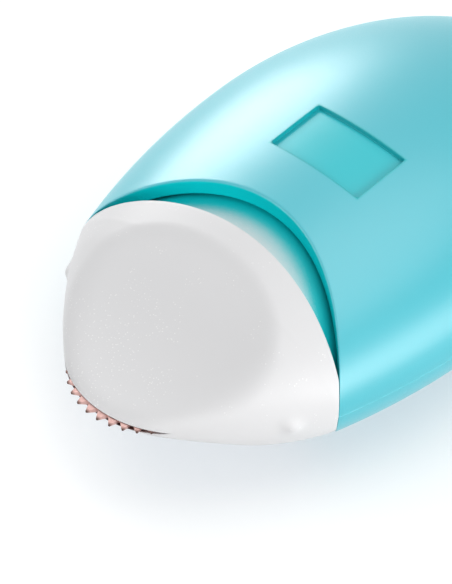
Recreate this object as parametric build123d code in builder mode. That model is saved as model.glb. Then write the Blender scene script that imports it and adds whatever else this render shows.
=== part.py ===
from build123d import *
from math import asin, cos, degrees, pi, radians, sin, sqrt, tan
import os

# Chalk wheel marker shaped like a small computer mouse. The long axis runs along Y with the wheel
# towards -Y, and the marker lies on the flat foot of its belly. The origin is at the bottom centre.

# Handle
handle_length = 56.5        # corners of the mouth to the tail
widest_half_width = 22.0
side_swell = 3.7            # half width that the handle gains from the mouth to the widest section
widest_back = 24.5          # corners of the mouth to the widest section
flatness_share = 0.545      # half height of a section over its half width
shell_wall = 2.0
mouth_rise = 9.75           # how far the mouth bows back at the middle
rim_outer_radius = 0.35
rim_inner_radius = 0.3
foot_depth = 0.4            # what the flat foot takes off the belly

# Bare recess on the back
recess_width = 12.0
recess_length = 7.5
recess_back = 20.0          # corners of the mouth to the middle of the recess
recess_depth = 0.5
recess_corner_radius = 0.3

# Inside of the handle
lip_height = 1.2
lip_gap = 0.1
lip_start = 3.0             # corners of the mouth to the front end of the lip
post_radius = 2.4
peg_radius = 1.1
peg_length = 2.6
peg_gap = 0.05
post_places = [(13.0, 31.0), (9.5, 44.5)]   # half spacing, distance behind the mouth's corners
hoop_width = 1.2
hoop_height = 1.8
hoop_places = [26.5, 37.5]
guide_width = 1.2
guide_spacing = 12.0
guide_front = 11.5
guide_back = 20.5
guide_gap = 0.1

# Nose
nose_reach = 16.15          # corners of the mouth to the tip of the cheeks
tip_radius = 11.2
tip_angle = 40.0
corner_gap = 0.2            # nose to handle at the corners of the mouth
crest_back = 5.35           # corners of the mouth to the middle of the crest
crest_end_back = 0.7        # the same, where the crest runs out over the corners
scoop_radius = 30.0         # of the scoop, seen from the side
scoop_cross_radius = 90.0   # of the scoop, seen along the long axis
scoop_top_back = 3.6        # corners of the mouth to the top end of the scoop
scoop_tip_height = 0.95     # thickness of a cheek's lip over the middle plane
scoop_edge_radius = 1.6     # rounding between the scoop and the nose's skin
bump_radius = 1.1
bump_height = 0.45
bump_place_share = 0.76     # along the flank, from the tip arc to the mouth's corner

# Powder tank
tank_length = 21.0          # corners of the mouth to the back of the tank
tank_gap = 0.35             # tank to the handle's wall
tank_wall = 1.4
tank_back_radius = 1.6
chamber_front = 2.8         # how far the powder chamber reaches ahead of the mouth's corners
fill_height = 3.0           # powder above the middle plane
fill_gap = 0.1
powder_wheel_gap = 0.3
cheek_peg_radius = 0.8
cheek_peg_length = 1.6
cheek_peg_inset = 5.7       # from the half width of the mouth
cheek_peg_front = 5.2       # ahead of the mouth's corners

# Wheel, hub and axle
tooth_count = 36
wheel_radius = 8.6
tooth_height = 1.0
tooth_land = 0.14
tooth_base_share = 0.92     # width of a tooth's foot over the pitch
wheel_thickness = 0.6
wheel_side_gap = 0.15
wheel_edge_gap = 0.35
axle_setback = 7.7          # tip of the cheeks to the axle
axle_radius = 0.75
axle_length = 4.2
axle_chamfer = 0.25
axle_end_gap = 0.05
axle_seat_gap = 0.02
axle_running_gap = 0.05
hub_radius = 1.6
hub_length = 1.9
hub_flange_radius = 2.3
hub_flange_thickness = 0.5
hub_seat_gap = 0.02
hub_gap = 0.15

# Filler plug
plug_radius = 4.3
plug_gap = 0.05
plug_length = 3.9
plug_flange_radius = 6.0
plug_flange_thickness = 1.3
plug_seat_gap = 0.05
collar_wall = 1.5
collar_length = 2.6
tab_width = 7.0
tab_thickness = 1.8
tab_height = 3.0
tab_corner_radius = 0.8

# One overrun serves all cuts
overrun = 5.0

# Places worked out from the sizes above
half_pitch = pi / tooth_count
mouth_half_width = widest_half_width - side_swell
wheel_reach = nose_reach - axle_setback + wheel_radius * cos(half_pitch)
mouth_y = (wheel_reach - handle_length) / 2
widest_y = mouth_y + widest_back
tail_y = mouth_y + handle_length
tip_y = mouth_y - nose_reach
axle_y = tip_y + axle_setback
mid_z = flatness_share * widest_half_width - foot_depth
half_height = flatness_share * widest_half_width
side_radius = (widest_back**2 + side_swell**2) / (2 * side_swell)
reach = handle_length + overrun
mid_plane = Plane.XY.offset(mid_z)


def half_width_at(back):
    """Half width of the handle, a distance behind the mouth's corners."""
    return widest_half_width - side_radius + sqrt(side_radius**2 - (widest_back - back) ** 2)


def half_plan(inset):
    """Right half of the handle's plan, drawn in by inset and open a little past the mouth."""
    lead = degrees(asin((widest_back + overrun) / (side_radius - inset)))
    with BuildSketch() as plan:
        with BuildLine():
            side = CenterArc(
                (widest_half_width - side_radius, widest_y), side_radius - inset, -lead, lead
            )
            tail = EllipticalCenterArc(
                (0, widest_y), widest_half_width - inset, tail_y - widest_y - inset, arc_size=90
            )
            Polyline(tail @ 1, (0, (side @ 0).Y), side @ 0)
        make_face()
    return plan.sketch


def flattened(plan, share):
    """Solid that a half plan sweeps about the long axis, flattened to the share of its width."""
    with BuildPart() as form:
        with BuildSketch(mid_plane.offset(mid_z / share - mid_z)):
            add(plan)
        revolve(axis=Axis((0, 0, mid_z / share), (0, 1, 0)))
        scale(by=(1, 1, share))
    return form.part


def handle_form(inset):
    """Handle's outer form drawn in by inset, on the sides and on the broad faces alike."""
    share = (half_height - inset) / (widest_half_width - inset)
    return flattened(half_plan(inset), share)


def ahead_of_arch(corner_back, middle_back):
    """Block of all that lies ahead of an upright arch, placed behind the mouth's corners."""
    corner_y = mouth_y + corner_back
    with BuildPart() as block:
        with BuildSketch():
            with BuildLine():
                arch = Bezier(
                    (-mouth_half_width, corner_y),
                    (0, mouth_y + 2 * middle_back - corner_back),
                    (mouth_half_width, corner_y),
                )
                Polyline(
                    arch @ 1,
                    (mouth_half_width + overrun, corner_y),
                    (mouth_half_width + overrun, corner_y - reach),
                    (-mouth_half_width - overrun, corner_y - reach),
                    (-mouth_half_width - overrun, corner_y),
                    arch @ 0,
                )
            make_face()
        extrude(amount=2 * half_height + overrun)
    return block.part


def tank_form(inset, front, back):
    """Flat oval tank drawn in by inset, from front to back measured behind the mouth's corners."""
    with BuildPart() as form:
        with BuildSketch(Plane.XZ.offset(-mouth_y - back)):
            with Locations((0, mid_z)):
                Ellipse(tank_half_width - inset, tank_half_height - inset)
        extrude(amount=back - front)
    return form.part


def scoop_form(wall):
    """Ring whose outer bottom is the cheek's dish, sunk by wall towards the middle plane."""
    with BuildPart() as ring:
        with BuildSketch(Plane.YZ):
            with Locations((scoop_y, scoop_z)):
                Circle(scoop_radius + wall)
        revolve(axis=Axis((0, 0, scoop_z + scoop_cross_radius - scoop_radius), (0, 1, 0)))
    return ring.part


mouth_inner_back = mouth_rise * (1 - (1 - shell_wall / mouth_half_width) ** 2)
tank_half_width = half_width_at(mouth_inner_back) - shell_wall - tank_gap
cavity_share = (half_height - shell_wall) / (widest_half_width - shell_wall)
tank_half_height = cavity_share * (half_width_at(mouth_rise) - shell_wall) - tank_gap

# The scoop's circle goes through the nose's skin at its top end and through the tip of the cheeks
chord_y = scoop_top_back + nose_reach
chord_z = flatness_share * half_width_at(scoop_top_back) - scoop_tip_height
chord = sqrt(chord_y**2 + chord_z**2)
scoop_rise = sqrt(scoop_radius**2 - chord**2 / 4)
scoop_y = tip_y + chord_y / 2 - scoop_rise * chord_z / chord
scoop_z = mid_z + scoop_tip_height + chord_z / 2 + scoop_rise * chord_y / chord

# Nose outline: an arc round the tip, an arc along the flank, then the handle's own side
with BuildSketch() as nose_plan:
    with BuildLine():
        tip = CenterArc((0, tip_y + tip_radius), tip_radius, -90, tip_angle)
        flank = TangentArc(
            tip @ 1, (mouth_half_width, mouth_y), tangent=(cos(radians(tip_angle)), sin(radians(tip_angle)))
        )
        run_on = ThreePointArc(
            flank @ 1,
            (half_width_at(mouth_rise / 2), mouth_y + mouth_rise / 2),
            (half_width_at(mouth_rise), mouth_y + mouth_rise),
        )
        Polyline(run_on @ 1, (0, mouth_y + mouth_rise), tip @ 0)
    make_face()

outer_form = handle_form(0)
cavity_form = handle_form(shell_wall)
half_wall_form = handle_form(shell_wall / 2)
hoop_form = handle_form(shell_wall + hoop_height)
recess_floor = handle_form(recess_depth)
nose_form = flattened(nose_plan.sketch, flatness_share)
mouth_block = ahead_of_arch(0, mouth_rise)
shoulder_block = ahead_of_arch(-corner_gap, mouth_rise - corner_gap)
crest_block = ahead_of_arch(crest_end_back, crest_back)
guide_form = tank_form(-guide_gap, guide_front - overrun, guide_back + overrun)

# Posts, hoops and guide ribs that both halves of the handle carry
with BuildPart() as inner_work:
    with BuildSketch():
        for half_spacing, back in post_places:
            with Locations((half_spacing, mouth_y + back), (-half_spacing, mouth_y + back)):
                Circle(post_radius)
    extrude(amount=2 * half_height)
    for back in hoop_places:
        with BuildSketch(Plane.XZ.offset(-mouth_y - back)):
            with Locations((0, half_height)):
                Rectangle(2 * widest_half_width, 2 * half_height)
        hoops = extrude(amount=hoop_width / 2, both=True, mode=Mode.PRIVATE)
        add(hoops - hoop_form)
    with BuildSketch():
        with Locations((0, mouth_y + (guide_front + guide_back) / 2)):
            with GridLocations(guide_spacing, 0, 2, 1):
                Rectangle(guide_width, guide_back - guide_front)
    guides = extrude(amount=2 * half_height, mode=Mode.PRIVATE)
    add(guides - guide_form)
    add(half_wall_form, mode=Mode.INTERSECT)

# Whole handle before it is parted at the middle plane
with BuildPart() as handle:
    add(outer_form)
    add(cavity_form, mode=Mode.SUBTRACT)
    add(mouth_block, mode=Mode.SUBTRACT)
    for loop, radius in ((-1, rim_outer_radius), (0, rim_inner_radius)):
        rim = handle.faces().filter_by(GeomType.EXTRUSION)[0]
        fillet(rim.edges().sort_by(SortBy.LENGTH)[loop], radius=radius)
    add(inner_work.part)

# Lip that centres one half of the handle in the other
with BuildPart() as lip:
    with BuildSketch(mid_plane):
        add(half_plan(shell_wall / 2 + lip_gap))
        add(half_plan(shell_wall), mode=Mode.SUBTRACT)
        mirror(about=Plane.YZ)
    extrude(amount=lip_height)
    with BuildSketch(mid_plane):
        with Locations((0, mouth_y + lip_start)):
            Rectangle(2 * widest_half_width, reach, align=(Align.CENTER, Align.MAX))
    extrude(amount=lip_height, mode=Mode.SUBTRACT)
with BuildPart() as lip_groove:
    with BuildSketch(mid_plane):
        add(half_plan(shell_wall / 2))
        add(half_plan(shell_wall + hoop_height), mode=Mode.SUBTRACT)
        mirror(about=Plane.YZ)
    extrude(amount=lip_height + lip_gap)
    with BuildSketch(mid_plane):
        with Locations((0, mouth_y + lip_start - lip_gap)):
            Rectangle(2 * widest_half_width, reach, align=(Align.CENTER, Align.MAX))
    extrude(amount=lip_height + lip_gap, mode=Mode.SUBTRACT)

# Recess on the back, whose floor follows the handle's curve
with BuildPart() as recess:
    with BuildSketch(mid_plane):
        with Locations((0, mouth_y + recess_back)):
            RectangleRounded(recess_width, recess_length, recess_corner_radius)
    extrude(amount=half_height + overrun)
    add(recess_floor, mode=Mode.SUBTRACT)

post_spots = [(side * x, mouth_y + back) for x, back in post_places for side in (-1, 1)]

with BuildPart() as upper_shell:
    add(handle.part)
    split(bisect_by=mid_plane, keep=Keep.TOP)
    add(lip_groove.part, mode=Mode.SUBTRACT)
    add(recess.part, mode=Mode.SUBTRACT)
    with BuildSketch(mid_plane.offset(-peg_length)):
        with Locations(*post_spots):
            Circle(peg_radius)
    extrude(amount=peg_length + post_radius)

with BuildPart() as lower_shell:
    add(handle.part)
    split(bisect_by=mid_plane, keep=Keep.BOTTOM)
    add(lip.part)
    with BuildSketch(mid_plane):
        with Locations(*post_spots):
            Circle(peg_radius + peg_gap)
    extrude(amount=-peg_length - lip_gap, mode=Mode.SUBTRACT)
    with BuildSketch(Plane.XY):
        with Locations((0, widest_y)):
            Rectangle(2 * widest_half_width, 2 * reach)
    extrude(amount=-overrun, mode=Mode.SUBTRACT)

# Room for the wheel and its hub between the cheeks
with BuildPart() as wheel_room:
    with Locations((0, axle_y, mid_z)):
        Cylinder(wheel_radius + wheel_edge_gap, wheel_thickness + 2 * wheel_side_gap)
        Cylinder(hub_flange_radius + hub_gap, hub_length + 2 * hub_gap)
        Cylinder(axle_radius + axle_seat_gap, axle_length + 2 * axle_end_gap)

# Powder chamber, which keeps one wall's thickness below the scoop
chamber_back = tank_length - tank_wall
with BuildPart() as chamber:
    add(tank_form(tank_wall, -chamber_front, chamber_back))
    add(scoop_form(tank_wall), mode=Mode.SUBTRACT)
    add(scoop_form(tank_wall).mirror(mid_plane), mode=Mode.SUBTRACT)

plug_plane = Plane(origin=(0, mouth_y + tank_length, mid_z), x_dir=(1, 0, 0), z_dir=(0, 1, 0))
bump_spot = flank @ bump_place_share
bump_normal = (flank % bump_place_share).rotate(Axis.Z, -90)
bump_centre = bump_spot - bump_normal * (bump_radius - bump_height)

# Scooped nose: the scoop's edge is rounded above the middle plane, and the lower half mirrors it
with BuildPart() as nose:
    add(nose_form)
    add(crest_block, mode=Mode.INTERSECT)
    add(shoulder_block, mode=Mode.INTERSECT)
    add(scoop_form(0), mode=Mode.SUBTRACT)
    fillet(nose.faces().filter_by(GeomType.TORUS).edges(), radius=scoop_edge_radius)
    split(bisect_by=mid_plane, keep=Keep.TOP)
    mirror(about=mid_plane)

# Tank behind the nose, whose front end stays under the scoops
with BuildPart() as tank:
    add(tank_form(0, 0, tank_length))
    fillet(tank.faces().sort_by(Axis.Y)[-1].edges(), radius=tank_back_radius)
    add(scoop_form(0), mode=Mode.SUBTRACT)
    add(scoop_form(0).mirror(mid_plane), mode=Mode.SUBTRACT)

# Whole cartridge before it is parted at the middle plane
with BuildPart() as cartridge:
    add(nose.part)
    add(tank.part)
    with Locations((bump_centre.X, bump_centre.Y, mid_z), (-bump_centre.X, bump_centre.Y, mid_z)):
        Sphere(bump_radius)
    add(chamber.part, mode=Mode.SUBTRACT)
    with BuildSketch(plug_plane.offset(-tank_wall)):
        Circle(plug_radius + plug_gap + collar_wall)
    extrude(amount=-collar_length)
    with BuildSketch(plug_plane):
        Circle(plug_radius + plug_gap)
    extrude(amount=-tank_wall - collar_length, mode=Mode.SUBTRACT)
    add(wheel_room.part, mode=Mode.SUBTRACT)

cheek_peg_x = mouth_half_width - cheek_peg_inset
cheek_peg_spots = [(cheek_peg_x, mouth_y - cheek_peg_front), (-cheek_peg_x, mouth_y - cheek_peg_front)]

with BuildPart() as upper_cheek:
    add(cartridge.part)
    split(bisect_by=mid_plane, keep=Keep.TOP)
    with BuildSketch(mid_plane.offset(-cheek_peg_length)):
        with Locations(*cheek_peg_spots):
            Circle(cheek_peg_radius)
    extrude(amount=cheek_peg_length + cheek_peg_radius)

with BuildPart() as lower_cheek:
    add(cartridge.part)
    split(bisect_by=mid_plane, keep=Keep.BOTTOM)
    with BuildSketch(mid_plane):
        with Locations(*cheek_peg_spots):
            Circle(cheek_peg_radius + peg_gap)
    extrude(amount=-cheek_peg_length - peg_gap, mode=Mode.SUBTRACT)

# Fill of powder: it lies level, keeps clear of the wheel and fills the chamber round the collar
with BuildPart() as chalk_powder:
    add(tank_form(tank_wall + fill_gap, -chamber_front + fill_gap, chamber_back - fill_gap))
    add(scoop_form(tank_wall + fill_gap), mode=Mode.SUBTRACT)
    add(scoop_form(tank_wall + fill_gap).mirror(mid_plane), mode=Mode.SUBTRACT)
    split(bisect_by=mid_plane.offset(fill_height), keep=Keep.BOTTOM)
    with BuildSketch(plug_plane):
        Circle(plug_radius + plug_gap + collar_wall + fill_gap)
    extrude(amount=-tank_wall - collar_length - fill_gap, mode=Mode.SUBTRACT)
    with Locations((0, axle_y, mid_z)):
        Cylinder(
            wheel_radius + wheel_edge_gap, wheel_thickness + 2 * powder_wheel_gap, mode=Mode.SUBTRACT
        )

# Toothed wheel: one pointed tooth, repeated round the root circle
root_radius = wheel_radius - tooth_height
foot_half = root_radius * tan(half_pitch) * tooth_base_share
tooth_outline = [
    (root_radius - tooth_land, -foot_half),
    (wheel_radius, -tooth_land / 2),
    (wheel_radius, tooth_land / 2),
    (root_radius - tooth_land, foot_half),
]
with BuildPart() as chalk_wheel:
    with BuildSketch(Plane((0, axle_y, mid_z - wheel_thickness / 2))):
        Circle(root_radius)
        with PolarLocations(0, tooth_count, start_angle=degrees(half_pitch)):
            Polygon(*tooth_outline, align=None)
        Circle(hub_radius + hub_seat_gap, mode=Mode.SUBTRACT)
    extrude(amount=wheel_thickness)

# Flanged bush that holds the disc and turns on the axle
with BuildPart() as wheel_hub:
    with Locations((0, axle_y, mid_z)):
        Cylinder(hub_radius, hub_length)
    flange_plane = mid_plane.offset(wheel_thickness / 2)
    for plane, way in ((flange_plane, 1), (mid_plane.offset(-wheel_thickness / 2), -1)):
        with BuildSketch(plane):
            with Locations((0, axle_y)):
                Circle(hub_flange_radius)
        extrude(amount=way * hub_flange_thickness)
    with Locations((0, axle_y, mid_z)):
        Cylinder(axle_radius + axle_running_gap, hub_length, mode=Mode.SUBTRACT)

with BuildPart() as wheel_axle:
    with Locations((0, axle_y, mid_z)):
        Cylinder(axle_radius, axle_length)
    chamfer(wheel_axle.edges().filter_by(GeomType.CIRCLE), length=axle_chamfer)

# Push-in plug with a tab for finger and thumb
with BuildPart() as filler_plug:
    with BuildSketch(plug_plane.offset(plug_seat_gap)):
        Circle(plug_radius)
    extrude(amount=-plug_length)
    with BuildSketch(plug_plane.offset(plug_seat_gap)):
        Circle(plug_flange_radius)
    extrude(amount=plug_flange_thickness)
    with BuildSketch(plug_plane.offset(plug_seat_gap + plug_flange_thickness)):
        RectangleRounded(tab_width, tab_thickness, tab_corner_radius)
    extrude(amount=tab_height)

pieces = {
    "upper_shell": upper_shell,
    "lower_shell": lower_shell,
    "upper_cheek": upper_cheek,
    "lower_cheek": lower_cheek,
    "chalk_powder": chalk_powder,
    "chalk_wheel": chalk_wheel,
    "wheel_hub": wheel_hub,
    "wheel_axle": wheel_axle,
    "filler_plug": filler_plug,
}
os.makedirs("parts", exist_ok=True)
for name, piece in pieces.items():
    piece.part.label = name
    export_step(piece.part, f"parts/{name}.step")
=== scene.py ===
"""Looks of the chalk wheel marker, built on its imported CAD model.

The two shells of the handle and the two cheeks of the cartridge get smooth skins from the rules that shape
their solids. The wheel gets its teeth from Geometry Nodes, and every piece gets a procedural finish.
"""

import logging
import math
from collections.abc import Callable
from dataclasses import dataclass, field
from enum import Enum

import bmesh
import bpy
import numpy as np
from mathutils import Matrix, Vector


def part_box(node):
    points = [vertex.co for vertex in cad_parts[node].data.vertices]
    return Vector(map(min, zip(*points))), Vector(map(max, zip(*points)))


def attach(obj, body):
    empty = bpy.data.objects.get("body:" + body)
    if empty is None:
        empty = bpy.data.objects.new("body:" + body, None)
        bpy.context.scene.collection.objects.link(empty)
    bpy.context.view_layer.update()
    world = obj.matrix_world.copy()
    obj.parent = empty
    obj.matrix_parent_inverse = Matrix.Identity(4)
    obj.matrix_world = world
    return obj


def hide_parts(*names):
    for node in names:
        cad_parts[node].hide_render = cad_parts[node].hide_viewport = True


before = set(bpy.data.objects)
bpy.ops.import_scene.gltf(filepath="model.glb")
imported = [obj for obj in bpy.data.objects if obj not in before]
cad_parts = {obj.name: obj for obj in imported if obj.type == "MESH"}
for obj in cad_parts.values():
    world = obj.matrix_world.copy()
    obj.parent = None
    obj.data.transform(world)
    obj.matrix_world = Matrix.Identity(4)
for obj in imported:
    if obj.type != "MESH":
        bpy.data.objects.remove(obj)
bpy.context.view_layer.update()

MM = 0.001
SETTLE_ROUNDS = 80
ROW_ROUNDS = 12
Array = np.ndarray
Rules = dict[str, Callable[[Array], Array]]
Pair = tuple[float, float]
Colour = tuple[float, float, float]
Piece = bpy.types.Object
Node = bpy.types.Node
Socket = bpy.types.NodeSocket
Feed = Socket | bpy.types.Material | float | tuple[float, ...]
Feeds = dict[str | int, Feed]
log = logging.getLogger("marker")


class Side(Enum):
    """Half of the marker above or below its parting plane."""

    UPPER = 1.0
    LOWER = -1.0


# ---- mesh drafting ----


class Draft:
    """Points in millimetres and faces, gathered sheet by sheet and then made one mesh object."""

    def __init__(self) -> None:
        """Starts with no points and no faces."""
        self.points: list[Array] = []
        self.faces: list[tuple[int, ...]] = []
        self.count = 0

    def place(self, points: Array) -> Array:
        """Adds points and numbers them.

        Args:
            points: array whose last axis is x, y, z in millimetres.

        Returns:
            Array of point numbers with the shape of the other axes.
        """
        flat = np.asarray(points, float).reshape(-1, 3)
        numbers = np.arange(self.count, self.count + len(flat)).reshape(np.shape(points)[:-1])
        self.points.append(flat)
        self.count += len(flat)
        return numbers

    def sheet(self, points: Array, wrap: bool = False) -> Array:
        """Adds a sheet of four-sided faces over a table of points.

        Args:
            points: rows by columns by x, y, z.
            wrap: whether the last row joins the first.

        Returns:
            The table of point numbers.
        """
        n = self.place(points)
        rows = np.vstack([n, n[:1]]) if wrap else n
        quads = np.stack([rows[:-1, :-1], rows[1:, :-1], rows[1:, 1:], rows[:-1, 1:]], -1).reshape(-1, 4)
        self.faces += [tuple(int(i) for i in q) for q in quads]
        return n

    def join(self, one: Array, other: Array) -> None:
        """Closes the strip between two lines of points, which may have different counts.

        Args:
            one: point numbers along one line.
            other: point numbers along the line beside it, running the same way.
        """
        i = j = 0
        while i < len(one) - 1 or j < len(other) - 1:
            ahead = (i + 1) / max(len(one) - 1, 1) <= (j + 1) / max(len(other) - 1, 1)
            if j == len(other) - 1 or (i < len(one) - 1 and ahead):
                self.faces.append((int(one[i]), int(one[i + 1]), int(other[j])))
                i += 1
            else:
                self.faces.append((int(one[i]), int(other[j + 1]), int(other[j])))
                j += 1

    def cap(self, ring: Array) -> None:
        """Closes a ring of point numbers with one face."""
        self.faces.append(tuple(int(i) for i in ring))

    def make(self, name: str, sharp_deg: float = 35.0, marks: Rules | None = None) -> Piece:
        """Turns the draft into a closed mesh object with its faces outwards.

        Args:
            name: name of the object.
            sharp_deg: angle between faces past which an edge stays sharp.
            marks: names of marks on the mesh, each with the rule that gives them from points in millimetres.

        Returns:
            The object, linked to the scene.
        """
        mesh = bpy.data.meshes.new(name)
        mesh.from_pydata((np.vstack(self.points) * MM).tolist(), [], self.faces)
        work = bmesh.new()
        work.from_mesh(mesh)
        bmesh.ops.remove_doubles(work, verts=work.verts, dist=0.004 * MM)
        bmesh.ops.dissolve_degenerate(work, edges=work.edges, dist=0.002 * MM)
        bmesh.ops.recalc_face_normals(work, faces=work.faces)
        work.to_mesh(mesh)
        work.free()
        spots = np.empty(len(mesh.vertices) * 3)
        mesh.vertices.foreach_get("co", spots)
        for mark, rule in (marks or {}).items():
            layer = mesh.attributes.new(mark, "FLOAT", "POINT")
            layer.data.foreach_set("value", rule(spots.reshape(-1, 3) / MM).astype(np.float32))
        mesh.shade_smooth()
        mesh.set_sharp_from_angle(angle=math.radians(sharp_deg))
        piece = bpy.data.objects.new(name, mesh)
        bpy.context.scene.collection.objects.link(piece)
        return piece


def points_at(x: Array | float, y: Array | float, z: Array | float) -> Array:
    """Points from their three coordinates, each a number or an array."""
    return np.stack(np.broadcast_arrays(x, y, z), -1)


def bend(start: Array, corner: Array, end: Array, steps: int = 5) -> Array:
    """Rounds a corner with a parabola.

    Args:
        start: points where the rounding starts, rows by x, y, z.
        corner: corner points.
        end: points where it ends.
        steps: segments of the rounding.

    Returns:
        Rows by steps - 1 by x, y, z, without start and end.
    """
    t = (np.arange(1, steps) / steps)[None, :, None]
    s, c, e = start[:, None, :], corner[:, None, :], end[:, None, :]
    return s * (1 - t) ** 2 + 2 * c * t * (1 - t) + e * t**2


def soft_min(one: Array, other: Array, blend: Array | float) -> Array:
    """Lower of two heights, with their meeting line rounded over the blend."""
    near = np.clip(blend - np.abs(one - other), 0, None) / blend
    return np.minimum(one, other) - near**2 * blend / 4


def soft_step(value: Array, low: float, high: float) -> Array:
    """Smooth step from 0 at low to 1 at high."""
    t = np.clip((value - low) / (high - low), 0, 1)
    return t * t * (3 - 2 * t)


# ---- node trees ----


class Wiring:
    """Node tree under construction. Each call adds a node with its settings and feeds its inputs."""

    def __init__(self, tree: bpy.types.NodeTree) -> None:
        """Takes the tree to build in."""
        self.tree = tree

    def feed(self, node: Node, feeds: Feeds) -> None:
        """Feeds a node's inputs.

        Args:
            node: node to feed.
            feeds: inputs by name or number, each with a socket to link from or a value.
        """
        for slot, given in feeds.items():
            if isinstance(given, Socket):
                self.tree.links.new(given, node.inputs[slot])
            else:
                node.inputs[slot].default_value = given

    def add(self, kind: str, feeds: Feeds | None = None, **settings: object) -> Node:
        """Adds a node.

        Args:
            kind: type of the node.
            feeds: inputs by name or number, each with a socket to link from or a value.
            settings: properties of the node, set before its inputs.

        Returns:
            The node.
        """
        made = self.tree.nodes.new(kind)
        for name, value in settings.items():
            setattr(made, name, value)
        self.feed(made, feeds or {})
        return made

    def math(self, kind: str, one: Feed, other: Feed) -> Socket:
        """Adds a math node of a kind and gives its output."""
        return self.add("ShaderNodeMath", {0: one, 1: other}, operation=kind).outputs[0]

    def spread(self, value: Feed, span: Pair, onto: Pair = (0.0, 1.0), **settings: object) -> Socket:
        """Adds a node that maps a value from one span onto another."""
        feeds = {"Value": value, **dict(zip(("From Min", "From Max", "To Min", "To Max"), (*span, *onto)))}
        return self.add("ShaderNodeMapRange", feeds, **settings).outputs["Result"]

    def mix(self, share: Feed, one: Feed, other: Feed) -> Socket:
        """Adds a mix of two colours, the other one growing with the share."""
        feeds = {"Factor": share, "A": one, "B": other}
        return self.add("ShaderNodeMix", feeds, data_type="RGBA").outputs["Result"]

    def noise(self, place: Socket, size: float, detail: float) -> Socket:
        """Adds noise with patches of a size in millimetres and octaves of detail."""
        feeds = {"Scale": 1 / (size * MM), "Detail": detail, "Vector": place}
        return self.add("ShaderNodeTexNoise", feeds).outputs["Fac"]

    def mark(self, name: str) -> Socket:
        """Reads a mark of the mesh."""
        return self.add("ShaderNodeAttribute", attribute_name=name).outputs["Fac"]


# ---- finishes ----


@dataclass(frozen=True)
class Finish:
    """Moulded or metal finish, whose tint, gloss and grain vary on object coordinates."""

    name: str
    colour: Colour
    second: Colour
    patch_size: float = 12.0
    roughness: float = 0.42
    roughness_spread: float = 0.06
    grain_size: float = 0.12
    grain_depth: float = 0.008
    metallic: float = 0.0
    specular: float = 0.5
    coat: float = 0.0
    coat_roughness: float = 0.5
    grain_span: Pair = (0.3, 0.7)
    grain_strength: float = 0.6

    def material(self) -> bpy.types.Material:
        """Builds the node tree of the finish.

        Returns:
            The material, ready to assign.
        """
        made = bpy.data.materials.new(self.name)
        made.use_nodes = True
        wires = Wiring(made.node_tree)
        place = wires.add("ShaderNodeTexCoord").outputs["Object"]
        tint = wires.mix(wires.noise(place, self.patch_size, 3.0), (*self.colour, 1), (*self.second, 1))
        grain = wires.noise(place, self.grain_size, 2.0)
        gloss = (self.roughness - self.roughness_spread, self.roughness + self.roughness_spread)
        relief = {"Strength": self.grain_strength, "Distance": self.grain_depth * MM, "Height": grain}
        shader_feeds = {
            "Metallic": self.metallic,
            "Specular IOR Level": self.specular,
            "Coat Weight": self.coat,
            "Coat Roughness": self.coat_roughness,
            "Base Color": self.dress(wires, place, tint),
            "Roughness": wires.spread(grain, self.grain_span, gloss),
            "Normal": wires.add("ShaderNodeBump", relief).outputs["Normal"],
        }
        wires.feed(made.node_tree.nodes["Principled BSDF"], shader_feeds)
        return made

    def dress(self, wires: Wiring, place: Socket, colour: Socket) -> Socket:
        """Lets a finish lay more over its tint. The plain finish lays nothing."""
        return colour


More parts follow.
